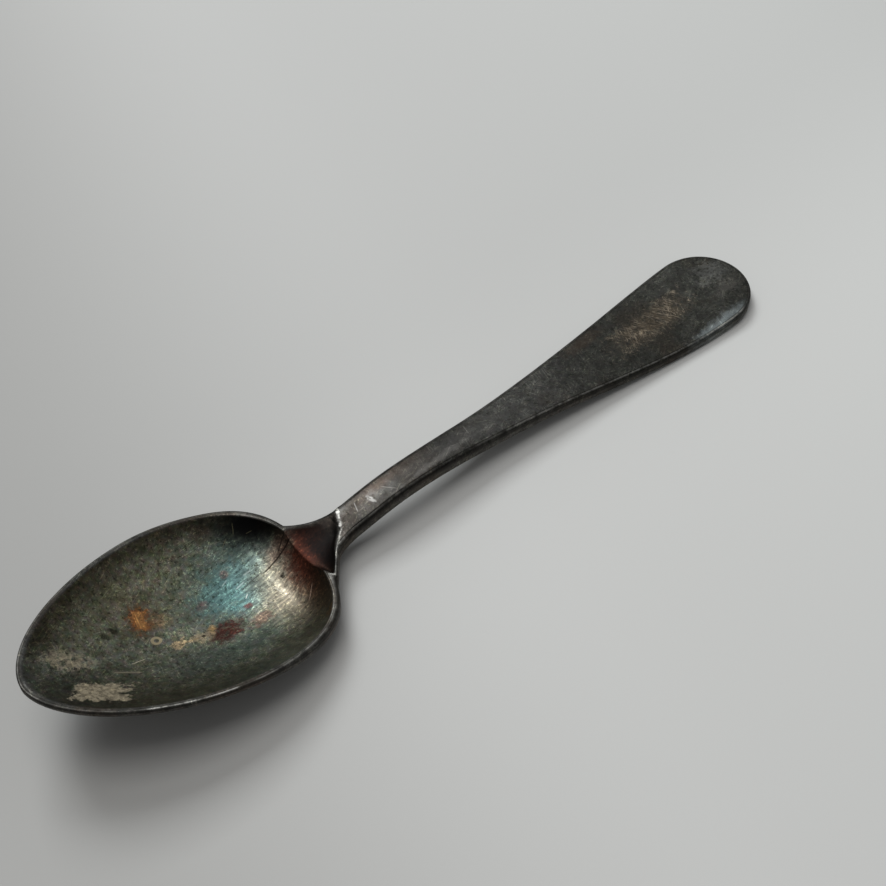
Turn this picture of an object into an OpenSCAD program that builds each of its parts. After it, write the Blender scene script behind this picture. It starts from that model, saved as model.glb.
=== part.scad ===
// Teaspoon: egg-shaped bowl, plain D-section stem that flares to a rounded end.
// It lies as it does on a table: +X runs from the bowl to the handle end, +Z is up,
// and the origin is on the table, at the wear flat under the bowl.
// Every skin point is worked out from a plan width, a side line and a thickness,
// so the two sub-parts share one section at the neck, where they meet face to face.

/* [Overall] */
// Length from the bowl tip to the handle end
spoon_len = 146; // [130:1:160]

/* [Bowl] */
// Length of the bowl's egg outline, from its tip to its heel
bowl_len = 47; // [43:0.5:51]
// Greatest width of the bowl
bowl_w = 33.2; // [29:0.2:36]
// Depth of the hollow below the rim
bowl_depth = 6.2; // [5.8:0.1:6.8]
// Width of the flat land on the rim
rim_w = 0.8; // [0.6:0.1:1.2]
// Height of the upright edge of the rim
rim_t = 0.95; // [0.8:0.05:1.4]
// What the upright edge gains in height towards the heel
heel_t = 0.75; // [0:0.05:1]
// Height of the rim above the table, at the bowl tip
tip_z = 15.8; // [12:0.1:17]
// Height of the rim above the table, over the deepest part of the bowl
belly_z = 10.15; // [9.8:0.05:11]

/* [Stem] */
// Width of the stem just behind the neck
neck_w = 5.4; // [4.4:0.1:7]
// Length of the neck, from the bowl's heel to the ridge across it
neck_len = 6; // [4:0.5:8]
// How far the neck flares on each side to meet the bowl
neck_flare = 3.1; // [2:0.1:4.5]
// Thickness of the stem at the neck
neck_t = 3.3; // [2.6:0.1:4]
// Height of the stem's top face above the table, at the neck
neck_z = 5.3; // [4.5:0.1:7]
// Height of the stem's top face at the crest of its arch
crest_z = 7; // [6:0.1:9]

/* [Handle end] */
// Greatest width of the flared end
end_w = 17.8; // [14:0.2:22]
// Length of the rounded end
end_round = 9.2; // [6:0.2:12]
// Thickness of the flared end
end_t = 2.1; // [1.5:0.1:2.6]
// Height of the top face at the very end
end_z = 2.9; // [2.2:0.1:5]

/* [Hidden] */

// Place of the ridge across the neck, and the length over which the hollow runs out to it
neck_s = bowl_len + neck_len;
ridge_run = 1.2;
// How far the flare of the neck runs on past the ridge
neck_tail = 2;
// Place of the origin, measured from the bowl tip
rest_s = 37;
// Depth worn off under the flared end, where it touches the table
toe_wear = 0.04;
// Easing of the top arris
ease = 0.3;
// Height of the stem's crown above its arrises
crown_h = 0.25;

// Plan outline of the bowl: a power law at the tip and another at the heel
tip_pow = 0.56;
heel_pow = 0.33;
belly_at = tip_pow / (tip_pow + heel_pow);
// Fullness of the bowl's section: 1 is a parabola, 0.5 an ellipse
fullness = 0.85;
// Sharpness of the corner between the bowl's outline and the neck's
fillet_pow = 3.4;

// Channel up the neck: its depth at the ridge, what it gains down to the heel, over what
// length and by which power, and where it fades into the bowl
channel_end = 0.3;
channel_depth = 3;
channel_run = 12;
channel_pow = 1.2;
channel_from = 0.72 * bowl_len;
channel_fade = 8;
// Sharpness of the blend between dish and channel
soft_pow = 3;

// Flare of the stem, as fractions of the length
flare_from = 0.40;
flare_to = 0.94;
flare_pow = 1.44;

// Soft joint between the bowl's underside and the stem's, and the heel's half-width
heel_blend = 1.6;
heel_w = 3.4;
heel_run = 14;
// Length over which the crown of the stem fades towards the bowl
crown_run = 4;
// Drop from the rim to the underside at the deepest place of the bowl
shell_deep = bowl_depth + 1.25;
// Share of the thickness that is an upright side, on the stem and at the flared end
side_share = 0.62;
end_share = 0.8;

// Skin resolution: stations along each sub-part, points across each face
bowl_steps = 46;
stem_steps = 54;
across = 8;

// Side line of the top arris: place along the spoon, height above the table
toe_s = 0.88 * spoon_len;
side_line = [
    [0, tip_z],
    [0.5 * bowl_len, belly_z],
    [1.04 * bowl_len, neck_z],
    [0.44 * spoon_len, crest_z],
    [0.62 * spoon_len, 0.71 * crest_z],
    [toe_s, end_t - toe_wear],
    [spoon_len, end_z]
];

function clamp01(x) = min(1, max(0, x));
function smooth(x) = let (q = clamp01(x)) q * q * (3 - 2 * q);
function mix(a, b, q) = a + (b - a) * q;
function soft_max(a, b, r) = let (q = max(r - abs(a - b), 0) / r) max(a, b) + q * q * r / 4;

// Slope of the side line at station i, weighted by the spans beside it
function span(i) = side_line[i + 1][0] - side_line[i][0];
function rise(i) = (side_line[i + 1][1] - side_line[i][1]) / span(i);
last = len(side_line) - 1;
function slope(i) = i == 0 ? rise(0)
    : i == last ? rise(last - 1)
    : (rise(i) * span(i - 1) + rise(i - 1) * span(i)) / (span(i - 1) + span(i));
function span_at(s, i = 0) = i >= last - 1 || s < side_line[i + 1][0] ? i : span_at(s, i + 1);
// Height of the top arris: a cubic between stations
function top_z(s) = let (
    i = span_at(s),
    h = span(i),
    t = (s - side_line[i][0]) / h,
    t2 = t * t,
    t3 = t2 * t
) (2 * t3 - 3 * t2 + 1) * side_line[i][1] + (t3 - 2 * t2 + t) * h * slope(i)
    + (3 * t2 - 2 * t3) * side_line[i + 1][1] + (t3 - t2) * h * slope(i + 1);

// Egg outline, 0 at both ends and 1 at the widest place
function egg(t) = let (q = clamp01(t))
    pow(q / belly_at, tip_pow) * pow((1 - q) / (1 - belly_at), heel_pow);
function bowl_half(s) = bowl_w / 2 * egg(s / bowl_len);
function hollow_egg(s) = (bowl_w / 2 - rim_w) * egg((s - rim_w) / (bowl_len - 2 * rim_w));

// Stem half-width: the flared neck, a parallel length, the long flare and an elliptical end
function flare(s) = smooth(pow(clamp01((s / spoon_len - flare_from) / (flare_to - flare_from)), flare_pow));
function neck_spread(s) = neck_flare * pow(clamp01(1 - (s - bowl_len) / (neck_len + neck_tail)), 2);
function stem_wide(s) = mix(neck_w, end_w, flare(s)) / 2 + neck_spread(s);
function end_reach(s) = clamp01((s - spoon_len + end_round) / end_round);
function stem_half(s) = stem_wide(s) * sqrt(1 - pow(end_reach(s), 2));
function stem_fade(s) = smooth((s / spoon_len - 0.2) / 0.1);

// Joins a bowl width and a stem width with a fillet
function fillet(a, b) = pow(pow(a, fillet_pow) + pow(b, fillet_pow), 1 / fillet_pow);
// Half-width of the whole spoon, and of its hollow
function half_w(s) = fillet(bowl_half(s), stem_half(s) * stem_fade(s));
function hollow_half(s) = fillet(hollow_egg(s), max(0, stem_half(s) - rim_w) * stem_fade(s));

// How near a point of the stem is to its outline: 0 on the centre line and 1 at the edge
function edge(s, y) = min(1, sqrt(pow(y / stem_wide(s), 2) + pow(end_reach(s), 2)));

// Crown of the top face of the stem
function crown(s, y) =
    crown_h * smooth((s - neck_s + crown_run / 2) / crown_run) * (1 - pow(edge(s, y), 2));

// Depth of the dished bowl below the rim plane
function dish(s, y) = let (v = (pow(hollow_egg(s), 2) - y * y) / pow(bowl_w / 2 - rim_w, 2))
    v > 0 ? bowl_depth * pow(v, fullness) : 0;
// Depth of the channel that carries the dish up the neck
function channel(s, y) = let (
    q = 1 - pow(y / max(hollow_half(s), rim_w), 2),
    deep = channel_end + channel_depth * pow(clamp01((neck_s - s) / channel_run), channel_pow)
) q > 0 ? deep * q * smooth((s - channel_from) / channel_fade) : 0;
// Dish and channel blended. The hollow runs out at the ridge across the neck.
function hollow(s, y) =
    pow(pow(dish(s, y), soft_pow) + pow(channel(s, y), soft_pow), 1 / soft_pow)
    * clamp01((neck_s - s) / ridge_run);

// Thickness below the top arris: bowl shell, heel ridge and D-section stem
function rim_edge(s) = rim_t + heel_t * smooth((s / bowl_len - 0.5) / 0.35);
function shell_t(s, y) = let (v = (pow(bowl_half(s), 2) - y * y) / pow(bowl_w / 2, 2))
    mix(rim_edge(s), shell_deep, v > 0 ? pow(v, fullness) : 0);
function ridge_t(s, y) = neck_t * exp(-pow(y / heel_w, 2)) * smooth((s - bowl_len + heel_run) / heel_run);
function stem_t(s) = mix(neck_t, end_t, smooth((s / spoon_len - 0.42) / 0.4));
function side(s) = mix(side_share, end_share, smooth((s / spoon_len - 0.6) / 0.3));
function d_section(s, y) = stem_t(s) * mix(side(s), 1, sqrt(1 - pow(edge(s, y), 2)));
function thickness(s, y) = mix(
    soft_max(shell_t(s, y), ridge_t(s, y), heel_blend),
    d_section(s, y),
    smooth((s - bowl_len) / neck_len)
);

function top_point(s, y) = [s - rest_s, y, top_z(s) + crown(s, y) - hollow(s, y)];
function side_point(s, y) = [s - rest_s, y, top_z(s) - ease];
function under_point(s, y) = [s - rest_s, y, top_z(s) - thickness(s, y)];

// One closed section: the top face, then the underside back to the start
function section(s) = let (
    w = half_w(s),
    e = min(ease, 0.3 * w),
    reach = max(hollow_half(s), 0.4 * w)
) concat(
    [top_point(s, -w + e)],
    [for (i = [-across:across]) top_point(s, reach * sin(90 * i / across))],
    [top_point(s, w - e), side_point(s, w)],
    [for (i = [0:2 * across]) under_point(s, w * cos(90 * i / across))],
    [side_point(s, -w)]
);

// Two triangles for the quad a, b, c, d
function quad(a, b, c, d) = [[a, b, c], [a, c, d]];

// Closed skin through a list of sections with equal point counts. Each end is closed
// by a strip that joins the top face's points to the underside's.
module skin(sections) {
    n = len(sections[0]);
    end = (len(sections) - 1) * n;
    points = [for (ring = sections) each ring];
    sides = [
        for (j = [0:n:end - n], i = [0:n - 1])
            let (k = (i + 1) % n)
            each quad(j + i, j + k, j + n + k, j + n + i)
    ];
    caps = [
        for (i = [0:n / 2 - 2])
            let (k = n - 1 - i)
            each concat(quad(i, k, k - 1, i + 1), quad(end + i + 1, end + k - 1, end + k, end + i))
    ];
    polyhedron(points, concat(sides, caps));
}

// Everything below the table plane, worn off to leave small flats
module table_cut() {
    translate([-rest_s, -bowl_w, -bowl_w])
        cube([spoon_len, 2 * bowl_w, bowl_w]);
}

// Hollow bowl, its heel and the short neck up to the ridge
module bowl() {
    color("darkslategray")
        difference() {
            skin([for (i = [2:bowl_steps]) section(neck_s * (1 - cos(180 * i / bowl_steps)) / 2)]);
            table_cut();
        }
}

// Stem and flared end
module handle() {
    color("dimgray")
        difference() {
            skin([for (i = [0:stem_steps - 1]) section(mix(neck_s, spoon_len, sin(90 * i / stem_steps)))]);
            table_cut();
        }
}

bowl();
handle();
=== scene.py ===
"""Looks of an old tarnished teaspoon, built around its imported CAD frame.

The bowl and the handle are skinned again as fine meshes, from the same rules as the CAD part:
a plan width, a side line and a thickness along the spoon. The shape rules work in millimetres,
with s running from the bowl tip to the handle end and y across. The meshes are in metres, in
the frame of the part: +X to the handle end, +Z up, origin under the bowl on the table.
"""
import math

import bmesh
import bpy
import numpy as np
from mathutils import Matrix, Vector, noise


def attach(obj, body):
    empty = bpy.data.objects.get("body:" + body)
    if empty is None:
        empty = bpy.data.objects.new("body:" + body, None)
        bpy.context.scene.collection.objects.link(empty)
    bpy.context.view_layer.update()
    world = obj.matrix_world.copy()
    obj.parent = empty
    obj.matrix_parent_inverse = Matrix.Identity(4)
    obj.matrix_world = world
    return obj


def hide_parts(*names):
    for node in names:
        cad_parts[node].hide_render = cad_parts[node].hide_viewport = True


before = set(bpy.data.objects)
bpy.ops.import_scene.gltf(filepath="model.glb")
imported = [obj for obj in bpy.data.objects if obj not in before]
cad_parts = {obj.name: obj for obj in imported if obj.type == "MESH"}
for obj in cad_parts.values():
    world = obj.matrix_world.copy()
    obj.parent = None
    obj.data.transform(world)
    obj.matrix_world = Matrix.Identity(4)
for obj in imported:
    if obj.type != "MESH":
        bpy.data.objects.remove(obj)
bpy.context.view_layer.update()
MM = 0.001

# ------------------------------------------------------------- driving sizes, millimetres
REST = 37.0              # the origin, measured from the bowl tip
SPOON = 146.0            # overall length
BOWL = 47.0              # length of the bowl's egg outline
BOWL_W = 33.2
DEPTH = 6.2              # of the hollow, below the rim
WALL_T = 1.25            # of the bowl, under its middle
RIM_W, RIM_T = 0.8, 0.95
HEEL_T = 0.75            # what the rim gains in thickness at the heel
NECK = 6.0               # from the bowl's heel to the parting plane
PARTING = BOWL + NECK    # the plane between bowl and handle
NECK_W, NECK_T = 5.4, 3.3
NECK_FLARE = 3.1         # what each side of the neck widens by towards the bowl
NECK_TAIL = 2.0          # how far past the parting plane the flare starts
END_W, END_T = 17.8, 2.1
END_ROUND = 9.2          # length of the rounded end
CREST = 7.0              # height of the handle's arch

# Shape of the plan outline
TIP_POW, HEEL_POW = 0.56, 0.33        # bluntness of the egg's two ends
BELLY = TIP_POW / (TIP_POW + HEEL_POW)    # where the egg is widest
FLARE_FROM, FLARE_TO, FLARE_POW = 0.40, 0.94, 1.44    # of the handle, as shares of its length
FILLET_POW = 3.4         # sharpness of the corner between bowl and neck
SHOULDER_S, SHOULDER_HALF = 45.5, 9.5     # the near shoulder runs straight from here to the neck
SHOULDER_SLOPE, SHOULDER_EASE = 1.19, 0.6
SHOULDER_FROM, SHOULDER_FADE = 44.6, 1.2

# Shape of the section
FULLNESS = 0.85          # of the dish, 1 being a parabola
RIM_EASE, NECK_EASE, STEM_EASE = 0.3, 0.65, 0.5       # rounding of the top arris
CROWN, CROWN_RUN = 0.25, 4.0          # swell of the handle's top, and the length it rises over
SIDE_SHARE, END_SHARE = 0.62, 0.8     # how much of the handle's thickness its sides keep
HEEL_BLEND, HEEL_W, HEEL_RUN = 1.6, 3.4, 14.0         # the spine that runs on under the heel

# The worn ridge that ends the hollow, and the channel that leads up to it
RIDGE_RUN = 1.2          # length over which the hollow runs out
RIDGE_AHEAD = 0.4        # past the parting plane on the middle line
RIDGE_SLANT, RIDGE_BEND = 0.57, 0.60      # its slant, and what the bend on the near side adds
RIDGE_BEND_Y = -1.0
RIDGE_NEAR, RIDGE_FAR = -5.6, 3.0     # beyond these it runs square across
CHANNEL_END, CHANNEL_DEPTH, CHANNEL_RUN, CHANNEL_POW = 0.3, 3.0, 12.0, 1.2
CHANNEL_FROM, CHANNEL_FADE = 0.72 * BOWL, 8.0
DISH_EASE, CHANNEL_EASE = 0.012, 0.05     # rounding where each meets its edge
SOFT_POW = 2.2           # sharpness of the blend between dish and channel

# Side line of the top arris: place along the spoon, height above the table
SIDE_LINE = np.array([
    (0, 15.8),
    (0.5 * BOWL, 10.15),
    (1.04 * BOWL, 5.3),
    (0.44 * SPOON, CREST),
    (0.62 * SPOON, 0.71 * CREST),
    (0.88 * SPOON, END_T - 0.04),
    (SPOON, 2.9),
])


# ------------------------------------------------------------------------- shape rules
def clamp01(x):
    return np.clip(x, 0.0, 1.0)


def smooth(x):
    q = clamp01(x)
    return q * q * (3 - 2 * q)


def mix(a, b, q):
    return a + (b - a) * q


def soft_max(a, b, reach):
    q = np.maximum(reach - np.abs(a - b), 0) / reach
    return np.maximum(a, b) + q * q * reach / 4


def top_z(s):
    """Height of the top arris: a cubic between the stations of the side line."""
    at, height = SIDE_LINE.T
    span = np.diff(at)
    rise = np.diff(height) / span
    slope = np.empty(len(at))
    slope[0], slope[-1] = rise[0], rise[-1]
    slope[1:-1] = (rise[1:] * span[:-1] + rise[:-1] * span[1:]) / (span[:-1] + span[1:])
    i = np.clip(np.searchsorted(at, s, side="right") - 1, 0, len(span) - 1)
    t = (s - at[i]) / span[i]
    start = (2 * t**3 - 3 * t**2 + 1) * height[i] + (t**3 - 2 * t**2 + t) * span[i] * slope[i]
    stop = (3 * t**2 - 2 * t**3) * height[i + 1] + (t**3 - t**2) * span[i] * slope[i + 1]
    return start + stop


def egg(t):
    q = clamp01(t)
    return (q / BELLY) ** TIP_POW * ((1 - q) / (1 - BELLY)) ** HEEL_POW


def bowl_half(s):
    return BOWL_W / 2 * egg(s / BOWL)


def stem_wide(s):
    """Half width of the stem before its end is rounded off."""
    flare = smooth(clamp01((s / SPOON - FLARE_FROM) / (FLARE_TO - FLARE_FROM)) ** FLARE_POW)
    return mix(NECK_W, END_W, flare) / 2 + NECK_FLARE * clamp01(1 - (s - BOWL) / (NECK + NECK_TAIL)) ** 2


def end_reach(s):
    """0 along the stem, rising to 1 over the rounded end."""
    return clamp01((s - SPOON + END_ROUND) / END_ROUND)


def stem_half(s):
    return stem_wide(s) * np.sqrt(1 - end_reach(s) ** 2)


def fillet(a, b, s):
    fade = smooth((s / SPOON - 0.2) / 0.1)
    return (a**FILLET_POW + (b * fade) ** FILLET_POW) ** (1 / FILLET_POW)


def half_w(s):
    return fillet(bowl_half(s), stem_half(s), s)


def near_swell(s):
    """How far the near shoulder stands out from the symmetric outline."""
    w = half_w(s)
    straight = SHOULDER_HALF - SHOULDER_SLOPE * (s - SHOULDER_S)
    return (soft_max(w, straight, SHOULDER_EASE) - w) * smooth((s - SHOULDER_FROM) / SHOULDER_FADE)


def inner_egg(s):
    return (BOWL_W / 2 - RIM_W) * egg((s - RIM_W) / (BOWL - 2 * RIM_W))


def hollow_half(s):
    return fillet(inner_egg(s), np.maximum(stem_half(s) - RIM_W, 0), s)


def past_bend(y):
    """How far round its bend the ridge has come, on the near side of the neck."""
    return np.maximum(RIDGE_BEND_Y - np.clip(y, RIDGE_NEAR, RIDGE_FAR), 0)


def ridge_at(y):
    """Place along the spoon of the worn ridge that ends the hollow."""
    aslant = RIDGE_SLANT * np.clip(y, RIDGE_NEAR, RIDGE_FAR)
    return PARTING + RIDGE_AHEAD + aslant - RIDGE_BEND * past_bend(y)


def off_ridge(s, y):
    """Distance from the ridge, square to it."""
    return (s - ridge_at(y)) / np.hypot(1, RIDGE_SLANT + RIDGE_BEND * (past_bend(y) > 0))


def eased(v, softness):
    """Negative values run out to 0 with no corner, so that the upper edge isn't razor sharp."""
    return np.maximum((v + np.hypot(v, softness)) / 2 - softness / 24, 0)


def hollow(s, y):
    """Depth of the hollow: the dish, blended with the channel that carries it up the neck."""
    v = (inner_egg(s) ** 2 - y * y) / (BOWL_W / 2 - RIM_W) ** 2
    dish = DEPTH * eased(v, DISH_EASE) ** FULLNESS
    deep = CHANNEL_END + CHANNEL_DEPTH * clamp01((PARTING - s) / CHANNEL_RUN) ** CHANNEL_POW
    across = eased(1 - (y / np.maximum(hollow_half(s), RIM_W)) ** 2, CHANNEL_EASE)
    channel = deep * across * smooth((s - CHANNEL_FROM) / CHANNEL_FADE)
    both = (dish**SOFT_POW + channel**SOFT_POW) ** (1 / SOFT_POW)
    return both * clamp01((ridge_at(y) - s) / RIDGE_RUN)


def crown(s, y):
    rise = smooth((s - PARTING + CROWN_RUN / 2) / CROWN_RUN)
    return CROWN * rise * (1 - clamp01((y / stem_wide(s)) ** 2 + end_reach(s) ** 2))


def thickness(s, y):
    v = np.maximum((bowl_half(s) ** 2 - y * y) / (BOWL_W / 2) ** 2, 0)
    rim = RIM_T + HEEL_T * smooth((s / BOWL - 0.5) / 0.35)
    shell = mix(rim, DEPTH + WALL_T, v**FULLNESS)
    spine = NECK_T * np.exp(-((y / HEEL_W) ** 2)) * smooth((s - BOWL + HEEL_RUN) / HEEL_RUN)
    bowl = soft_max(shell, spine, HEEL_BLEND)
    edge = clamp01((y / stem_wide(s)) ** 2 + end_reach(s) ** 2)
    stem_t = mix(NECK_T, END_T, smooth((s / SPOON - 0.42) / 0.4))
    share = mix(SIDE_SHARE, END_SHARE, smooth((s / SPOON - 0.6) / 0.3))
    stem = stem_t * (share + (1 - share) * np.sqrt(1 - edge))
    return mix(bowl, stem, smooth((s - BOWL) / NECK))


# ------------------------------------------------------------------------------ meshes
ACROSS, LAND, ARRIS, WALL, UNDER = 72, 4, 5, 3, 64     # steps of each stretch of a ring
DENTS = ((9.0, 0.045, 3.1), (3.2, 0.020, 7.7), (1.1, 0.006, 1.9))     # size, depth and seed
BURR_H, BURR_W = 0.14, 0.4
WELD, SLIVER = 0.002, 0.001                            # millimetres
CREASE = 50              # degrees, above which an edge stays sharp


def relief(x, y, z, scale, amount, seed):
    """Gentle unevenness of old hand-worn metal, in millimetres."""
    spot = Vector((x / scale + seed, y / scale, z / scale))
    return amount * noise.noise(spot)


def uneven(points):
    """Adds shallow dents, a ragged burr along the worn ridge, and the fuller near shoulder."""
    x, y, z = points.T
    dents = np.array([sum(relief(*p, *dent) for dent in DENTS) for p in points])
    burr_line = np.array([relief(0, q, 0, 0.7, 0.5, 5.5) for q in y])
    away = (off_ridge(x + REST, y) - burr_line) / BURR_W
    burr = BURR_H * np.exp(-away * away) * smooth((4.6 - np.abs(y)) / 1.2)
    swell = near_swell(x + REST) * smooth(-y / 4)
    return np.column_stack([x, y - swell, z + dents + burr])


def outline_stations(start, stop, count):
    """Places along the spoon, evenly spaced along its plan outline."""
    fine = mix(start, stop, (1 - np.cos(np.linspace(0, math.pi, 4001))) / 2)
    arc = np.concatenate([[0], np.cumsum(np.hypot(np.diff(fine), np.diff(half_w(fine))))])
    return np.interp(np.linspace(0, arc[-1], count), arc, fine)


def outline_normal(s):
    """Directions square to the plan outline, pointing outwards."""
    step = 0.002
    low, high = np.maximum(s - step, 0), np.minimum(s + step, SPOON)
    slope = (half_w(high) - half_w(low)) / (high - low)
    normal = np.column_stack([-slope, np.ones_like(slope)])
    normal[s < step] = (-1, 0)
    normal[s > SPOON - step] = (1, 0)
    normal /= np.linalg.norm(normal, axis=1)[:, None]
    normal[:, 0] *= smooth(np.abs(s - PARTING) / 3)     # the parting ring stays in one plane
    return normal


def arris(s):
    """Radius of the rounding along the top arris: small on the rim, larger at the heel and neck."""
    return mix(mix(RIM_EASE, NECK_EASE, smooth((s / BOWL - 0.55) / 0.3)), STEM_EASE,
               smooth((s - PARTING) / NECK))


def half_profile(s, w, normal):
    """One ring's points from the rim's inner edge, out over the arris and down the side wall."""
    ease = arris(s)
    inner_x = s - RIM_W * normal[:, 0]
    inner_y = mix(hollow_half(inner_x), w - RIM_W * normal[:, 1], smooth((s - BOWL) / NECK))
    inner_y = np.maximum(inner_y, 0)
    inner_y[w == 0] = 0
    stretch = []
    for i in range(LAND):
        q = i / LAND
        x = mix(inner_x, s - ease * normal[:, 0], q)
        y = mix(inner_y, w - ease * normal[:, 1], q)
        stretch.append((x, y, top_z(x) + crown(x, y) - hollow(x, y)))
    for i in range(ARRIS + 1):
        turn = math.pi / 2 * i / ARRIS
        inset = ease * (1 - math.sin(turn))
        x, y = s - inset * normal[:, 0], w - inset * normal[:, 1]
        stretch.append((x, y, top_z(x) - ease * (1 - math.cos(turn))))
    for i in range(1, WALL):
        top, foot = top_z(s) - ease, top_z(s) - thickness(s, w)
        stretch.append((s, w, mix(top, foot, i / WALL)))
    return stretch


def rings(stations):
    """Closed rings of points around the spoon, one at each station, as an array [row, point, xyz]."""
    s = stations
    w = np.where((s <= 0) | (s >= SPOON), 0, half_w(s))
    normal = outline_normal(s)
    side = half_profile(s, w, normal)
    inner_x, inner_y, _ = side[0]
    ring = []
    for j in range(1, ACROSS):
        y = inner_y * math.sin(math.pi / 2 * (1 - 2 * j / ACROSS))
        ring.append((inner_x, y, top_z(inner_x) + crown(inner_x, y) - hollow(inner_x, y)))
    ring += [(x, -y, z) for x, y, z in side]
    for j in range(UNDER + 1):
        y = -w * math.cos(math.pi * j / UNDER)
        ring.append((s, y, top_z(s) - thickness(s, y)))
    ring += reversed(side)
    return np.array(ring).transpose(2, 0, 1)


def wear_marks(rows, count, points):
    """Where each point lies: over or under, on the rim, how deep in the hollow, how far past the ridge."""
    over = np.zeros((rows, count))
    rim = np.zeros((rows, count))
    across = ACROSS - 1
    side = np.concatenate([np.linspace(0.35, 0.8, LAND), np.linspace(1.0, 0.7, ARRIS + 1),
                           np.linspace(0.25, 0.1, WALL - 1)])
    over[:, :across + LAND + ARRIS] = 1
    over[:, -(LAND + ARRIS):] = 1
    rim[:, across:across + len(side)] = side
    rim[:, -len(side):] = side[::-1]
    s, y = points[:, 0] + REST, points[:, 1]
    dish = hollow(s, y) * over.ravel() / DEPTH
    ridge = np.clip(off_ridge(s, y), -5, 5)
    return {"upside": over.ravel(), "rim": rim.ravel(), "dish": dish, "ridge": ridge}


def tidy(piece):
    """Welds the doubled points at a closed end, turns faces outwards and shades smoothly."""
    work = bmesh.new()
    work.from_mesh(piece.data)
    bmesh.ops.remove_doubles(work, verts=work.verts, dist=WELD * MM)
    bmesh.ops.dissolve_degenerate(work, edges=work.edges, dist=SLIVER * MM)
    bmesh.ops.recalc_face_normals(work, faces=work.faces)
    for face in work.faces:
        face.smooth = True
    for edge in work.edges:
        if len(edge.link_faces) == 2 and edge.calc_face_angle(0) > math.radians(CREASE):
            edge.smooth = False
    work.to_mesh(piece.data)
    work.free()


def skin(name, stations, open_start, open_end):
    """One closed mesh through the rings. An open end is a parting face; the other comes to a point."""
    grid = rings(stations)
    rows, count, _ = grid.shape
    points = grid.reshape(-1, 3) - np.array([REST, 0, 0])
    marks = wear_marks(rows, count, points)
    points = uneven(points)
    points[:, 2] = np.maximum(points[:, 2], 0)
    faces = []
    for i in range(rows - 1):
        for j in range(count):
            k = (j + 1) % count
            faces.append((i * count + j, i * count + k, (i + 1) * count + k, (i + 1) * count + j))
    if open_start:
        faces.append(tuple(reversed(range(count))))
    if open_end:
        faces.append(tuple(range((rows - 1) * count, rows * count)))
    mesh = bpy.data.meshes.new(name)
    mesh.from_pydata((points * MM).tolist(), [], faces)
    for mark, values in marks.items():
        mesh.attributes.new(mark, "FLOAT", "POINT").data.foreach_set("value", values.astype(np.float32))
    piece = bpy.data.objects.new(name, mesh)
    bpy.context.scene.collection.objects.link(piece)
    tidy(piece)
    return piece


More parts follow.
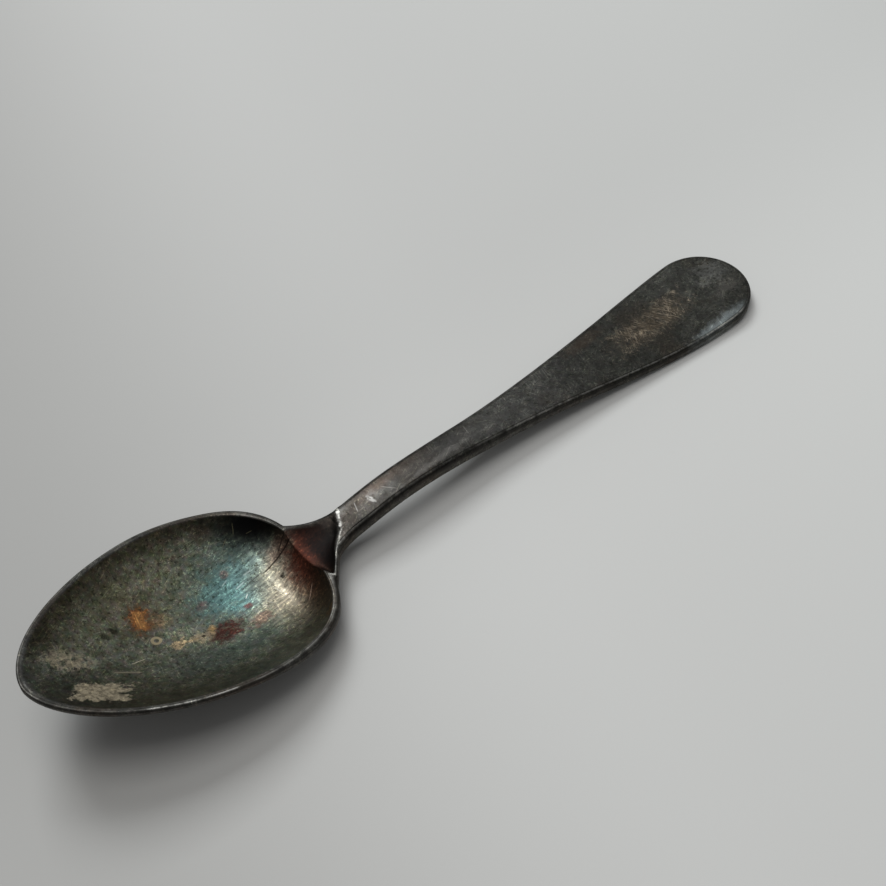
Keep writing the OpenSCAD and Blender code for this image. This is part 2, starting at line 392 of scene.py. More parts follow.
# --------------------------------------------------------------------------- materials
class Graph:
    """Short calls that build a material's nodes. Each call returns the new node's output socket."""

    def __init__(self, name):
        self.material = bpy.data.materials.new(name)
        self.material.use_nodes = True
        self.tree = self.material.node_tree
        self.tree.nodes.clear()
        metres = self.node("ShaderNodeTexCoord").outputs["Object"]
        self.mm = self.vector("SCALE", metres, scale=1 / MM)
        self.ragged = self.noise(0.9, detail=4.0, roughness=0.7)
        self.waver = self.math("SUBTRACT", self.noise(0.8, detail=3.0, roughness=0.7), 0.5)
        stray = self.vector("SUBTRACT", self.hues(0.7, detail=3.0), (0.5, 0.5, 0.5))
        self.warped = self.vector("ADD", self.mm, self.vector("SCALE", stray, scale=1.1))
        self.nearly_straight = self.vector("ADD", self.mm, self.vector("SCALE", stray, scale=0.2))

    def node(self, kind, **settings):
        made = self.tree.nodes.new(kind)
        for name, value in settings.items():
            setattr(made, name, value)
        return made

    def feed(self, socket, value):
        if isinstance(value, bpy.types.NodeSocket):
            self.tree.links.new(value, socket)
        elif isinstance(value, (tuple, list)) and len(socket.default_value) == 4 and len(value) == 3:
            socket.default_value = (*value, 1)
        else:
            socket.default_value = value

    def vector(self, operation, a, b=None, scale=None):
        made = self.node("ShaderNodeVectorMath", operation=operation)
        self.feed(made.inputs[0], a)
        if b is not None:
            self.feed(made.inputs[1], b)
        if scale is not None:
            self.feed(made.inputs["Scale"], scale)
        return made.outputs["Value" if operation == "DOT_PRODUCT" else "Vector"]

    def math(self, operation, a, b=0.0, clamp=False):
        made = self.node("ShaderNodeMath", operation=operation, use_clamp=clamp)
        self.feed(made.inputs[0], a)
        self.feed(made.inputs[1], b)
        return made.outputs[0]

    def times(self, *factors):
        product = factors[0]
        for factor in factors[1:]:
            product = self.math("MULTIPLY", product, factor)
        return product

    def step(self, value, low, high, bottom=0.0, top=1.0):
        """Smooth step from bottom to top as value goes from low to high; low may be above high."""
        made = self.node("ShaderNodeMapRange", interpolation_type="SMOOTHSTEP")
        for name, number in (("Value", value), ("From Min", low), ("From Max", high),
                             ("To Min", bottom), ("To Max", top)):
            self.feed(made.inputs[name], number)
        return made.outputs["Result"]

    def blend(self, amount, a, b, kind="MIX"):
        made = self.node("ShaderNodeMix", data_type="RGBA", blend_type=kind)
        self.feed(made.inputs[0], amount)
        self.feed(made.inputs[6], a)
        self.feed(made.inputs[7], b)
        return made.outputs[2]

    def value_blend(self, amount, a, b):
        made = self.node("ShaderNodeMix", data_type="FLOAT")
        self.feed(made.inputs[0], amount)
        self.feed(made.inputs[2], a)
        self.feed(made.inputs[3], b)
        return made.outputs[0]

    def noise(self, scale, detail=3.0, roughness=0.55, at=None):
        made = self.node("ShaderNodeTexNoise")
        self.feed(made.inputs["Vector"], self.mm if at is None else at)
        self.feed(made.inputs["Scale"], scale)
        self.feed(made.inputs["Detail"], detail)
        self.feed(made.inputs["Roughness"], roughness)
        return made.outputs["Fac"]

    def hues(self, scale, detail):
        """Noise in colour, for the many faint hues of tarnish."""
        made = self.node("ShaderNodeTexNoise")
        self.feed(made.inputs["Vector"], self.mm)
        self.feed(made.inputs["Scale"], scale)
        self.feed(made.inputs["Detail"], detail)
        return made.outputs["Color"]

    def streaks(self, turn, stretch, spacing):
        """Brush marks: noise drawn out along one direction."""
        made = self.node("ShaderNodeMapping", vector_type="TEXTURE")
        self.feed(made.inputs["Vector"], self.mm)
        made.inputs["Rotation"].default_value = (0, 0, math.radians(turn))
        made.inputs["Scale"].default_value = (spacing * stretch, spacing, spacing)
        return self.noise(1.0, detail=3.0, at=made.outputs["Vector"])

    def place(self, at, x, y, turn, length, width):
        """Along and across a mark: its middle at (x, y) mm, turned by degrees, its half sizes as 1."""
        cos, sin = math.cos(math.radians(turn)), math.sin(math.radians(turn))
        along = self.vector("DOT_PRODUCT", at, (cos / length, sin / length, 0))
        across = self.vector("DOT_PRODUCT", at, (-sin / width, cos / width, 0))
        return (self.math("SUBTRACT", along, (cos * x + sin * y) / length),
                self.math("SUBTRACT", across, (cos * y - sin * x) / width))

    def mark(self, name):
        """A value stored on the mesh's points."""
        return self.node("ShaderNodeAttribute", attribute_name=name).outputs["Fac"]

    def parts(self, vector):
        made = self.node("ShaderNodeSeparateXYZ")
        self.feed(made.inputs[0], vector)
        return made.outputs

    def x(self):
        return self.parts(self.mm)["X"]

    def y(self):
        return self.parts(self.mm)["Y"]

    def reach(self, at, x, y, turn, length, width):
        """Distance from a mark's middle, 1 at its elliptic edge."""
        along, across = self.place(at, x, y, turn, length, width)
        return self.math("SQRT", self.math("ADD", self.times(along, along), self.times(across, across)))

    def inside_of(self, reach, soft, ragged):
        stray = self.math("MULTIPLY", self.math("SUBTRACT", self.ragged, 0.5), ragged * 4)
        return self.step(self.math("ADD", reach, stray), 1 + soft, 1 - soft)

    def blot(self, x, y, length, width, turn, soft, ragged):
        """An elliptic mark with a ragged edge: 1 inside, 0 outside."""
        return self.inside_of(self.reach(self.warped, x, y, turn, length, width), soft, ragged)

    def patch(self, x, y, length, width, turn, soft, ragged):
        """A four-sided mark with a ragged edge."""
        along, across = self.place(self.nearly_straight, x, y, turn, length, width)
        reach = self.math("MAXIMUM", self.math("ABSOLUTE", along), self.math("ABSOLUTE", across))
        return self.inside_of(reach, soft, ragged)

    def line(self, x, y, length, width, turn):
        """A thin, nearly straight mark, tapering to its ends."""
        along, across = self.place(self.nearly_straight, x, y, turn, length / 2, width / 2)
        taper = self.step(self.math("ABSOLUTE", along), 1.0, 0.6)
        return self.times(taper, self.step(self.math("ABSOLUTE", across), 1.3, 0.4))

    def scratches(self, turn, spacing, stretch, width, gaps, seed):
        """Fine straight scratches that lie one way, broken up by gaps."""
        made = self.node("ShaderNodeMapping", vector_type="TEXTURE")
        self.feed(made.inputs["Vector"], self.mm)
        made.inputs["Location"].default_value = (seed, -seed, 0)
        made.inputs["Rotation"].default_value = (0, 0, math.radians(turn))
        made.inputs["Scale"].default_value = (spacing * stretch, spacing, spacing * 4)
        lines = self.noise(1.0, detail=1.5, at=made.outputs["Vector"])
        thin = self.step(self.math("ABSOLUTE", self.math("SUBTRACT", lines, 0.5)), width, 0.0)
        broken = self.noise(0.35, detail=2.0, at=self.vector("ADD", self.mm, (seed * 7, seed, 0)))
        return self.times(thin, self.step(broken, gaps, gaps + 0.08))

    def finish(self, colour, roughness, metallic, height, distance):
        shader = self.node("ShaderNodeBsdfPrincipled")
        bump = self.node("ShaderNodeBump")
        self.feed(bump.inputs["Height"], height)
        bump.inputs["Distance"].default_value = distance
        bump.inputs["Strength"].default_value = 1.0
        self.feed(shader.inputs["Base Color"], colour)
        self.feed(shader.inputs["Roughness"], roughness)
        self.feed(shader.inputs["Metallic"], metallic)
        self.tree.links.new(bump.outputs["Normal"], shader.inputs["Normal"])
        output = self.node("ShaderNodeOutputMaterial")
        self.tree.links.new(shader.outputs["BSDF"], output.inputs["Surface"])
        return self.material


# Stains inside the bowl, one brightened as a painted sheen and one deepened as painted shade, in the order
# they lie over each other. Place, half sizes and turn are in millimetres and degrees, then softness and
# raggedness of the edge, strength and colour.
STAINS = (
    (0.5, 4.5, 9.0, 6.0, 12, 0.80, 0.40, 0.75, (0.075, 0.125, 0.120)),     # teal bloom
    (-3.0, 3.6, 4.6, 3.0, 15, 0.70, 0.60, 0.75, (0.095, 0.190, 0.195)),    # its blue heart
    (2.2, 4.8, 3.0, 1.6, 10, 0.70, 0.60, 0.65, (0.170, 0.290, 0.290)),
    (0.6, 0.6, 3.6, 1.6, 15, 0.60, 0.60, 0.65, (0.060, 0.150, 0.165)),
    (-6.0, -6.8, 6.5, 2.6, 5, 0.80, 0.40, 0.55, (0.045, 0.075, 0.066)),    # green shade, low side
    (-14.5, -6.0, 5.0, 3.0, -10, 0.80, 0.40, 0.45, (0.050, 0.066, 0.062)),
    (4.5, -1.6, 4.2, 6.0, -12, 0.80, 0.20, 0.80, (0.300, 0.262, 0.200)),   # pale brown tint, brightened as a painted sheen
    (8.4, 4.8, 3.6, 1.3, 18, 0.60, 0.40, 0.65, (0.200, 0.140, 0.110)),     # pinkish band
    (10.9, -2.2, 5.2, 8.0, -12, 0.40, 0.20, 0.97, (0.075, 0.018, 0.010)),  # maroon heel
    (8.2, -8.6, 4.4, 4.6, 20, 0.80, 0.20, 0.80, (0.085, 0.056, 0.036)),
    (6.0, 9.8, 6.3, 2.9, -34, 0.80, 0.20, 1.00, (0.001, 0.001, 0.001)),   # black, far side
    (9.3, 7.4, 2.4, 1.6, -45, 0.80, 0.20, 0.80, (0.008, 0.005, 0.004)),
    (14.6, 0.4, 3.4, 4.6, 20, 0.80, 0.30, 0.90, (0.020, 0.012, 0.009)),    # top of the neck: dark tarnish, deepened as painted shade
    (-0.8, 13.0, 1.6, 1.2, 0, 0.60, 0.50, 0.50, (0.080, 0.055, 0.035)),    # browns of the far wall
    (-17.8, 10.2, 3.0, 1.6, 20, 0.80, 0.50, 0.50, (0.085, 0.082, 0.045)),
    (5.9, -11.6, 1.5, 0.7, 40, 0.60, 0.40, 0.80, (0.150, 0.075, 0.022)),   # rust at the heel rim
    (-31.5, -8.2, 2.0, 0.7, -35, 0.60, 0.50, 0.80, (0.160, 0.080, 0.030)), # rust at the tip rim
    (-16.7, 5.1, 3.0, 2.3, 60, 0.70, 0.50, 0.75, (0.062, 0.032, 0.018)),   # amber spot, dark halo
    (-14.6, 3.8, 1.6, 1.1, 10, 0.60, 0.70, 0.60, (0.210, 0.130, 0.070)),   # tail
    (-16.8, 5.2, 1.9, 1.4, 60, 0.50, 0.80, 0.85, (0.230, 0.085, 0.028)),   # middle
    (-16.6, 5.3, 1.2, 0.7, 75, 0.60, 0.90, 0.85, (0.330, 0.180, 0.070)),   # and heart
    (-7.2, -2.7, 2.9, 1.7, 12, 0.35, 0.70, 0.90, (0.046, 0.008, 0.006)),   # red-brown patch
    (-8.9, -1.2, 0.8, 0.5, 30, 0.50, 0.60, 0.80, (0.330, 0.210, 0.090)),
    (-1.7, -0.4, 0.7, 0.5, 0, 0.50, 0.60, 0.85, (0.110, 0.024, 0.022)),    # small red specks
    (-7.5, 3.3, 0.9, 0.7, 20, 0.50, 0.60, 0.60, (0.120, 0.045, 0.045)),
    (-1.5, 6.2, 0.7, 0.6, 20, 0.50, 0.60, 0.60, (0.130, 0.050, 0.045)),
    (-1.8, -3.8, 1.8, 1.1, 5, 0.50, 0.80, 0.80, (0.120, 0.056, 0.042)),    # pinkish patch
    (-1.7, -3.7, 1.3, 0.7, 5, 0.50, 0.90, 0.90, (0.150, 0.112, 0.086)),
    (-14.2, -1.1, 1.4, 0.8, 10, 0.40, 0.80, 0.85, (0.440, 0.330, 0.200)),  # pale crusts
    (-10.9, -1.7, 1.5, 1.0, -10, 0.40, 0.80, 0.70, (0.330, 0.260, 0.170)),
    (-21.2, 5.2, 0.9, 0.5, -40, 0.50, 0.60, 0.90, (0.012, 0.011, 0.008)),  # dark spots
    (-22.6, 4.6, 0.5, 0.5, 0, 0.50, 0.60, 0.85, (0.012, 0.011, 0.008)),
    (-14.0, -1.3, 0.35, 0.25, 0, 0.40, 0.40, 0.95, (0.012, 0.008, 0.006)),
    (-10.6, -1.7, 0.3, 0.25, 0, 0.40, 0.40, 0.95, (0.012, 0.008, 0.006)),
    (5.6, 0.8, 0.50, 0.32, 60, 0.30, 0.40, 0.98, (0.006, 0.005, 0.004)),   # pit near the heel
)
WIDE_STAIN = 3.2         # stains longer than this aren't broken up
# bright metal of the wear, also the colour of the painted highlights
BARE_METAL_AND_HIGHLIGHT = (0.55, 0.54, 0.51)
METALLIC = 0.88          # of the tarnished plate, away from the crusts
CRUST_ROUGHNESS, UNDERSIDE_ROUGHNESS, RIM_ROUGHNESS = 0.85, 0.75, 0.65
PLATE_BUMP, FLOOR_BUMP = 0.02, 0.01                    # millimetres
# Single scratches, and a few painted glints: middle, length and width, turn, strength and colour
SCARS = (
    (6.6, 3.4, 8.0, 0.30, 4, 0.90, (0.012, 0.008, 0.006)),                 # dark, along the heel
    (8.6, 4.6, 4.5, 0.20, 22, 0.80, (0.014, 0.008, 0.006)),
    (1.2, 3.0, 4.5, 0.16, 12, 0.60, (0.030, 0.020, 0.014)),
    (-21.0, -1.3, 2.6, 0.16, 2, 0.80, (0.480, 0.440, 0.340)),              # white, near the tip
    (-23.4, -2.6, 4.6, 0.30, -28, 0.60, (0.330, 0.290, 0.210)),
    (-28.3, -5.6, 3.4, 0.20, 24, 0.70, (0.060, 0.050, 0.035)),             # tear in the cream patch
    (6.4, -5.3, 3.2, 0.14, 42, 0.65, (0.330, 0.220, 0.170)),
    (1.2, -1.9, 1.6, 0.18, -60, 0.80, (0.300, 0.290, 0.250)),              # pale curls
    (3.5, -0.6, 2.0, 0.18, -75, 0.80, (0.300, 0.290, 0.250)),
    (-1.0, 1.2, 1.1, 0.18, 35, 0.80, (0.520, 0.560, 0.520)),
    (3.9, 11.0, 1.7, 0.10, 55, 0.22, (0.300, 0.270, 0.150)),               # gold, on the black
    (1.6, 10.2, 1.6, 0.09, 30, 0.25, (0.300, 0.270, 0.150)),
    (5.6, 9.2, 1.1, 0.08, -20, 0.22, (0.300, 0.270, 0.150)),
    (-0.6, 3.4, 2.2, 0.26, 12, 0.60, (0.420, 0.520, 0.500)),               # painted highlights: glints on the teal
    (1.6, 4.6, 1.8, 0.30, 8, 0.60, (0.460, 0.540, 0.510)),
    (-2.4, 5.0, 1.6, 0.22, 20, 0.50, (0.380, 0.480, 0.470)),
    (-12.4, -1.4, 2.6, 0.18, -8, 0.70, (0.300, 0.200, 0.100)),             # joins the pale crusts
)
# Marks on the top of the stem and the handle, several of them painted highlights, given as the stains are
STEM_MARKS = (
    (26.5, 1.0, 4.5, 0.9, 2, 0.80, 0.60, 0.45, (0.130, 0.082, 0.060)),     # brown tints
    (74.0, 4.6, 4.0, 1.2, 8, 0.80, 0.60, 0.35, (0.130, 0.085, 0.060)),
    (37.0, -0.3, 10.0, 1.3, 2, 0.90, 0.50, 0.45, (0.200, 0.195, 0.188)),   # painted highlight along the crest
    (34.5, -1.3, 6.5, 0.40, 4, 0.90, 0.70, 0.60, (0.400, 0.390, 0.375)),   # painted highlight along the near arris
    (22.6, -0.3, 0.24, 0.80, 20, 0.60, 0.60, 0.80, (0.800, 0.800, 0.780)), # painted highlight, a small bright spot
    (23.2, 0.0, 0.9, 1.2, 25, 0.90, 0.80, 0.50, (0.250, 0.245, 0.240)),
    (18.1, 1.9, 1.2, 1.1, 40, 0.90, 0.80, 0.60, (0.170, 0.173, 0.170)),    # far end of the ridge: worn metal, partly painted highlight
    (105.0, 2.0, 2.8, 1.9, 20, 0.80, 0.90, 0.45, (0.260, 0.260, 0.250)),   # pale scuffs at the end
    (104.6, -2.6, 2.6, 1.5, -10, 0.80, 0.90, 0.35, (0.210, 0.195, 0.175)),
    (96.0, -7.9, 5.4, 0.9, 3, 0.90, 0.60, 0.60, (0.400, 0.450, 0.470)),    # painted highlight on the near edge of the end
)
STEM_SCARS = (
    (26.0, -0.6, 3.0, 0.16, -50, 0.60, (0.380, 0.360, 0.340)),
    (20.0, 0.3, 2.2, 0.16, 70, 0.60, (0.400, 0.400, 0.390)),
    (43.5, 0.9, 2.4, 0.14, 78, 0.60, (0.360, 0.350, 0.330)),
    (58.0, 0.5, 1.8, 0.14, -65, 0.55, (0.330, 0.320, 0.300)),
)
# Bright wear and painted highlights along the near edge: middle and half length of each stretch, and
# strength
EDGE_WEAR_AND_HIGHLIGHT = ((-20.0, 5.5, 0.62), (-4.0, 8.0, 0.22), (12.0, 2.5, 0.50), (69.0, 19.0, 0.22), (96.5, 4.5, 0.5))


def lay_stains(g, tone, stains, where):
    """Lays blots of colour over a tone. The small ones keep to where."""
    for x, y, length, width, turn, soft, ragged, strength, colour in stains:
        mark = g.blot(x, y, length, width, turn, soft, ragged)
        if length < WIDE_STAIN:
            mark = g.times(mark, where)
        tone = g.blend(g.times(mark, strength), tone, colour)
    return tone


def lay_scars(g, tone, scars, where):
    for x, y, length, width, turn, strength, colour in scars:
        mark = g.line(x, y, length, width, turn)
        tone = g.blend(g.times(mark, where, strength), tone, colour)
    return tone


def metal_tone(g, mottle, fine):
    """Dark warm grey metal, clouded and speckled."""
    large = g.noise(0.10, detail=3.0, roughness=0.6)
    tone = g.blend(g.step(mottle, 0.36, 0.66), (0.060, 0.059, 0.055), (0.125, 0.123, 0.116))
    tone = g.blend(g.times(g.step(large, 0.45, 0.65), 0.7), tone, (0.088, 0.074, 0.062))
    tone = g.blend(0.10, tone, g.hues(1.3, detail=4.0), "OVERLAY")
    return speckled(g, tone, fine, 0.6)


def speckled(g, tone, fine, amount):
    """Dark and pale specks that keep the hue under them."""
    pale = g.noise(2.3, detail=3.0, roughness=0.7, at=g.vector("ADD", g.mm, (31.0, 17.0, 5.0)))
    tone = g.blend(g.step(fine, 0.47, 0.34, top=amount), tone, (0.22, 0.21, 0.18), "MULTIPLY")
    return g.blend(g.step(pale, 0.55, 0.68, top=amount), tone, (2.7, 2.7, 2.5), "MULTIPLY")


def brushing(g):
    """Brush marks of old polishing, and how strongly they show, fading out round the heel."""
    return g.streaks(8, 8.0, 0.36), g.blot(3.0, 0.0, 10.0, 11.0, 0, 0.8, 0.2)


def shaded_walls(g, tone, dish):
    """The low side, far wall and tip wall lie in shade, and the far floor is a little paler."""
    low_side = g.times(g.step(g.y(), 4.0, -6.0), g.step(dish, 0.95, 0.25))
    far_side = g.times(g.step(g.y(), 1.0, 7.0), g.step(g.x(), 1.0, -10.0))
    far_wall = g.times(g.step(g.y(), 2.0, 8.0), g.step(dish, 0.50, 0.12))
    tip_wall = g.step(g.x(), -24.0, -33.0, top=0.8)
    for where, shade in ((low_side, (0.36, 0.33, 0.28)), (far_side, (1.30, 1.24, 1.16)),
                         (far_wall, (0.42, 0.38, 0.35)), (tip_wall, (0.55, 0.56, 0.58))):
        tone = g.blend(where, tone, shade, "MULTIPLY")
    return tone


def bowl_tone(g, mottle, fine, dish):
    """Olive patina with its stains, brush marks and scratches."""
    streaks, brushed = brushing(g)
    grit = g.step(fine, 0.34, 0.56, bottom=0.45)
    tone = g.blend(g.step(mottle, 0.33, 0.70), (0.074, 0.078, 0.054), (0.180, 0.185, 0.148))
    tone = g.blend(0.35, tone, g.hues(1.3, detail=4.0), "OVERLAY")
    tone = lay_stains(g, tone, STAINS, grit)
    tone = speckled(g, tone, fine, 0.75)
    # pale brush marks, partly painted sheen; then the dark ones
    tone = g.blend(g.times(brushed, g.step(streaks, 0.50, 0.68), 0.5), tone, (2.7, 2.6, 2.4), "MULTIPLY")
    tone = g.blend(g.times(brushed, g.step(streaks, 0.48, 0.32), 0.6), tone, (0.35, 0.34, 0.32), "MULTIPLY")
    tone = shaded_walls(g, tone, dish)
    return lay_scars(g, tone, SCARS, 1.0)


def deposits(g):
    """Dried crusts near the tip: where they lie."""
    cream = g.patch(-28.2, -5.0, 3.6, 1.9, -32, 0.10, 0.45)
    for x, y, length, width, turn in ((-25.2, -6.7, 1.7, 0.3, -18), (-24.9, -5.5, 1.2, 0.25, -30)):
        cream = g.math("SUBTRACT", cream, g.blot(x, y, length, width, turn, 0.4, 0.5), clamp=True)
    tan = g.times(g.blot(-29.0, 2.4, 3.2, 1.9, -25, 0.35, 0.9), g.step(g.ragged, 0.39, 0.51))
    return g.math("MAXIMUM", cream, g.times(tan, 0.9))


def pale_ring(g, x, y, radius):
    """A thin ring left by a dried drop."""
    off = g.math("SUBTRACT", g.reach(g.nearly_straight, x, y, 10, radius, radius * 0.9), 1.0)
    return g.step(g.math("ABSOLUTE", off), 0.50, 0.22)


def fine_scratches(g):
    """Hairline scratches that lie four ways."""
    lines = g.scratches(32, 0.42, 30, 0.016, 0.50, 4.0)
    for turn, spacing, seed in ((-24, 0.6, 11.0), (74, 0.5, 23.0), (6, 0.38, 37.0)):
        lines = g.math("MAXIMUM", lines, g.scratches(turn, spacing, 24, 0.014, 0.53, seed))
    return lines


def shaded_sides(g, tone, upside, rim):
    """Rim, side walls and underside darker than the top, most of all just under the arris."""
    tone = g.blend(g.step(rim, 0.30, 0.75), tone, (0.48, 0.47, 0.45), "MULTIPLY")
    side = g.math("SUBTRACT", 1.0, upside)
    tone = g.blend(side, tone, (0.92, 0.89, 0.85), "MULTIPLY")
    return g.blend(g.times(side, g.step(rim, 0.12, 0.35)), tone, (0.58, 0.56, 0.54), "MULTIPLY")


def wear_and_highlights(g, upside, rim, mottle, fine):
    """Where worn metal shows, brightened as painted highlights: the near arris here and there, and the
    ragged ridge across the neck, dimmer on its near side.
    """
    spot = g.parts(g.mm)
    stretches = 0.08
    for middle, half, strength in EDGE_WEAR_AND_HIGHLIGHT:
        off = g.math("ABSOLUTE", g.math("SUBTRACT", spot["X"], middle))
        near = g.times(g.step(off, half + 2.0, half, top=strength), g.step(spot["Y"], 0.0, -1.0))
        stretches = g.math("MAXIMUM", stretches, near)
    # near arris only: partly wear, partly painted highlight
    worn = g.times(g.step(rim, 0.84, 0.99), g.step(mottle, 0.36, 0.58, bottom=0.15), stretches)
    off_line = g.math("ABSOLUTE", g.math("ADD", g.mark("ridge"), g.waver))
    ridge = g.times(g.step(off_line, 0.42, 0.08), upside, g.step(fine, 0.40, 0.58, bottom=0.15))
    return g.math("MAXIMUM", worn, g.times(ridge, g.step(spot["Y"], -2.5, 1.5, bottom=0.14, top=0.45)))


def neck_top_shade(g, tone, upside):
    """Painted shade: the top of the neck before the ridge is darkened, nearly black on the near side."""
    before = g.times(upside, g.step(g.mark("ridge"), 0.0, -0.7), g.step(g.x(), 8.0, 11.5))
    shade = g.blend(g.step(g.y(), -1.5, 5.0), (0.070, 0.062, 0.056), (0.32, 0.28, 0.26))
    return g.blend(before, tone, shade, "MULTIPLY")


def bowl_layers(g, tone, height, roughness, mottle, fine):
    """Patina over the metal inside the bowl, with dried deposits on it. Also tells where they lie."""
    dish = g.mark("dish")
    inside = g.times(g.step(dish, 0.010, 0.050), g.step(g.x(), 16.0, 13.5))
    tone = g.blend(inside, tone, bowl_tone(g, mottle, fine, dish))
    crust = g.times(deposits(g), inside)
    chalk = g.blend(g.step(fine, 0.38, 0.62), (0.080, 0.064, 0.040), (0.200, 0.168, 0.112))
    tone = g.blend(g.times(crust, 0.95), tone, chalk)
    tone = g.blend(g.times(pale_ring(g, -16.7, 1.1, 0.6), inside, 0.9), tone, (0.420, 0.350, 0.220))
    grooves = g.times(*brushing(g))
    height = g.math("ADD", height, g.math("ADD", g.times(grooves, 0.40), g.times(crust, 0.9)))
    roughness = g.value_blend(g.times(inside, 0.6), roughness, 0.46)
    return tone, height, roughness, crust


def handle_layers(g, tone, height, fine, upside):
    """Marks along the stem, painted shade on its top, and a worn patch with a hatching of small scratches.
    """
    tone = g.blend(g.step(g.x(), 56, 76), tone, (0.62, 0.63, 0.60), "MULTIPLY")
    tone = lay_stains(g, tone, STEM_MARKS, g.times(upside, g.step(fine, 0.3, 0.55)))
    tone = lay_scars(g, tone, STEM_SCARS, upside)
    # painted shade: the top is darkened most next to the neck, and a little from 52 mm on
    tone = g.blend(g.times(g.step(g.x(), 52, 34), upside), tone, (0.38, 0.37, 0.36), "MULTIPLY")
    tone = g.blend(g.times(g.step(g.x(), 36, 52), upside), tone, (0.78, 0.78, 0.77), "MULTIPLY")
    patch = g.times(g.patch(86.5, 0.3, 8.5, 2.5, 3, 0.40, 0.7), upside)
    tone = g.blend(g.times(patch, g.step(g.ragged, 0.36, 0.60), 0.7), tone, (0.105, 0.082, 0.057))
    hatch = g.times(patch, g.math("MAXIMUM", g.scratches(118, 0.55, 7, 0.035, 0.40, 51.0),
                                  g.scratches(62, 0.60, 6, 0.030, 0.46, 63.0)))
    tone = g.blend(g.times(hatch, 0.85), tone, (0.250, 0.205, 0.155))
    return tone, g.math("SUBTRACT", height, g.times(hatch, 0.25))


def old_plate(name, in_bowl):
    """Tarnished silver plate. Both pieces share its metal, so that it runs on across the parting."""
    g = Graph(name)
    upside, rim = g.mark("upside"), g.mark("rim")
    mottle = g.noise(0.55, detail=5.0, roughness=0.68)
    fine = g.noise(1.7, detail=3.5, roughness=0.7)
    lines = fine_scratches(g)
    tone = metal_tone(g, mottle, fine)
    height = g.math("ADD", g.times(mottle, 0.55), g.times(fine, 0.40))
    height = g.math("SUBTRACT", height, g.times(lines, 0.22))
    roughness = g.value_blend(g.step(mottle, 0.3, 0.7), 0.46, 0.34)
    crust = 0.0
    if in_bowl:
        tone, height, roughness, crust = bowl_layers(g, tone, height, roughness, mottle, fine)
    else:
        tone, height = handle_layers(g, tone, height, fine, upside)
    tone = neck_top_shade(g, tone, upside)
    tone = shaded_sides(g, tone, upside, rim)
    tone = g.blend(wear_and_highlights(g, upside, rim, mottle, fine), tone, BARE_METAL_AND_HIGHLIGHT)
    tone = g.blend(g.times(lines, 0.7), tone, (2.6, 2.6, 2.4), "MULTIPLY")
    roughness = g.value_blend(crust, roughness, CRUST_ROUGHNESS)
    roughness = g.value_blend(g.step(upside, 1.0, 0.0, top=0.6), roughness, UNDERSIDE_ROUGHNESS)
    roughness = g.value_blend(g.step(rim, 0.3, 0.6, top=0.5), roughness, RIM_ROUGHNESS)
    metallic = g.value_blend(crust, METALLIC, 0.0)
    return g.finish(tone, roughness, metallic, height, PLATE_BUMP * MM)


def floor_finish():
    """Pale matt sheet with painted shade: a little darker towards the bowl's side and towards the back."""
    g = Graph("floor")
    spot = g.parts(g.mm)
    across = g.math("SUBTRACT", spot["X"], g.times(spot["Y"], 0.3))
    tone = g.blend(g.step(across, -45, 50), (0.375, 0.370, 0.358), (0.565, 0.563, 0.550))
    tone = g.blend(g.step(across, 30, 180), tone, (0.640, 0.643, 0.628))
    tone = g.blend(g.step(spot["Y"], -30, 40), tone, (0.88, 0.88, 0.88), "MULTIPLY")
    return g.finish(tone, 0.6, 0.0, g.noise(1.5, detail=4.0), FLOOR_BUMP * MM)


# --------------------------------------------------------------------- stage, in metres
FLOOR_SIDE = 3.0
SPOON_MIDDLE, LIGHT_AWAY = Vector((0.035, 0, 0)), 0.9
HORIZON, OVERHEAD = (0.10, 0.10, 0.096, 1), (0.30, 0.305, 0.31, 1)


def floor_plane():
    work = bmesh.new()
    bmesh.ops.create_grid(work, x_segments=2, y_segments=2, size=FLOOR_SIDE / 2)
    mesh = bpy.data.meshes.new("floor")
    work.to_mesh(mesh)
    work.free()
    floor = bpy.data.objects.new("floor", mesh)
    bpy.context.scene.collection.objects.link(floor)
    floor.data.materials.append(floor_finish())


def aim(thing, place, target):
    thing.location = place
    thing.rotation_euler = (Vector(target) - Vector(place)).to_track_quat("-Z", "Y").to_euler()


def area_light(name, direction, size, watts, colour):
    lamp = bpy.data.lights.new(name, "AREA")
    lamp.shape, lamp.size = "SQUARE", size
    lamp.energy, lamp.color = watts, colour
    holder = bpy.data.objects.new(name, lamp)
    bpy.context.scene.collection.objects.link(holder)
    aim(holder, SPOON_MIDDLE + Vector(direction).normalized() * LIGHT_AWAY, SPOON_MIDDLE)


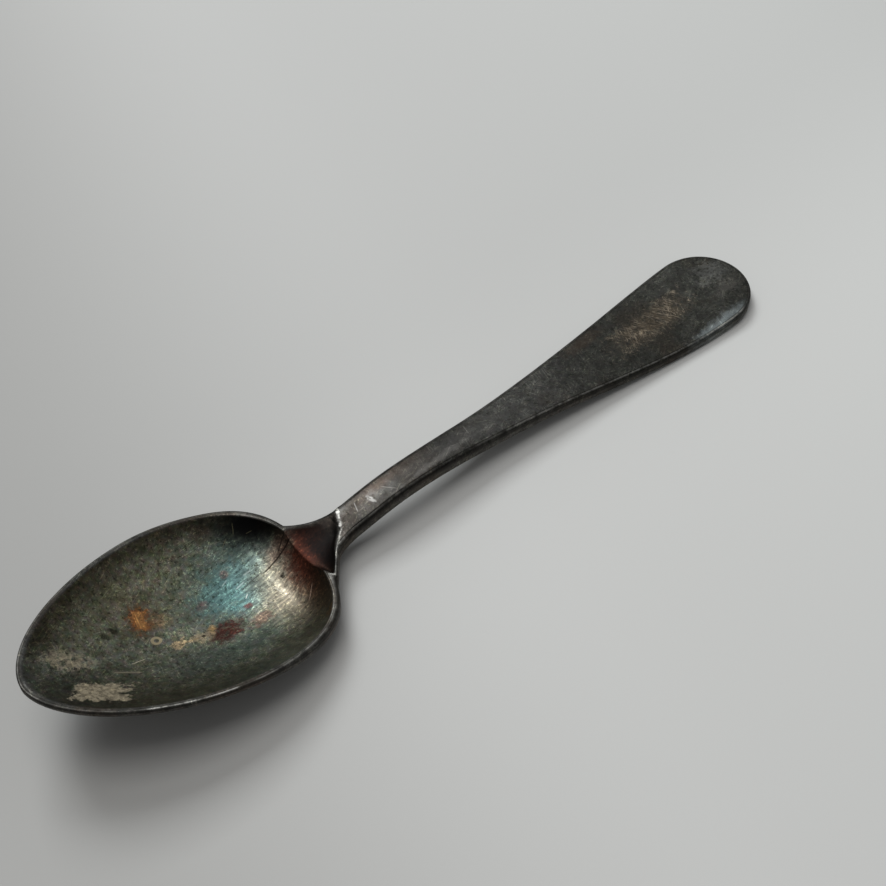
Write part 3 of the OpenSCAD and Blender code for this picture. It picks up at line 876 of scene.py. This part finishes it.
def room_light():
    """Pale surroundings, brighter overhead than at the horizon."""
    world = bpy.data.worlds.new("room")
    bpy.context.scene.world = world
    world.use_nodes = True
    tree = world.node_tree
    tree.nodes.clear()
    look = tree.nodes.new("ShaderNodeTexCoord")
    split = tree.nodes.new("ShaderNodeSeparateXYZ")
    rise = tree.nodes.new("ShaderNodeMapRange")
    mixed = tree.nodes.new("ShaderNodeMix")
    back = tree.nodes.new("ShaderNodeBackground")
    out = tree.nodes.new("ShaderNodeOutputWorld")
    mixed.data_type = "RGBA"
    mixed.inputs[6].default_value = HORIZON
    mixed.inputs[7].default_value = OVERHEAD
    rise.inputs["From Min"].default_value = 0.0
    rise.inputs["From Max"].default_value = 0.9
    tree.links.new(look.outputs["Generated"], split.inputs[0])
    tree.links.new(split.outputs["Z"], rise.inputs["Value"])
    tree.links.new(rise.outputs["Result"], mixed.inputs[0])
    tree.links.new(mixed.outputs[2], back.inputs["Color"])
    tree.links.new(back.outputs[0], out.inputs["Surface"])


def camera():
    """The viewpoint: high over the bowl's near side, looking along the handle."""
    azimuth, elevation, roll = (math.radians(a) for a in (-40.8, 49.3, -0.75))
    target, away = Vector((0.04235, 0.00529, 0)), 0.2396
    back = Vector((math.sin(azimuth) * math.cos(elevation),
                   -math.cos(azimuth) * math.cos(elevation), math.sin(elevation)))
    lens = bpy.data.cameras.new("camera")
    lens.lens, lens.sensor_width, lens.clip_start = 58.3, 36.0, 0.01
    holder = bpy.data.objects.new("camera", lens)
    bpy.context.scene.collection.objects.link(holder)
    flat = Vector((math.cos(azimuth), math.sin(azimuth), 0))
    lift = back.cross(flat)
    right = flat * math.cos(roll) + lift * math.sin(roll)
    up = lift * math.cos(roll) - flat * math.sin(roll)
    turn = Matrix((right, up, back)).transposed().to_4x4()
    holder.matrix_world = Matrix.Translation(target + back * away) @ turn
    bpy.context.scene.camera = holder


# ------------------------------------------------------------------------------- build
bowl = skin("bowl_skin", outline_stations(0, PARTING, 176), False, True)
handle = skin("handle_skin", outline_stations(PARTING, SPOON, 230), True, False)
for piece, node in ((bowl, "bowl"), (handle, "handle")):
    piece.data.materials.append(old_plate(node + "_plate", in_bowl=node == "bowl"))
    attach(piece, "root")
    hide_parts(node)

floor_plane()
room_light()
area_light("window", (0.10, 0.60, 0.79), 0.40, 4.6, (0.96, 0.99, 1.0))
area_light("overhead", (-0.12, 0.05, 0.99), 0.50, 2.7, (1.0, 0.995, 0.98))
camera()
bpy.context.scene.view_settings.view_transform = "Standard"
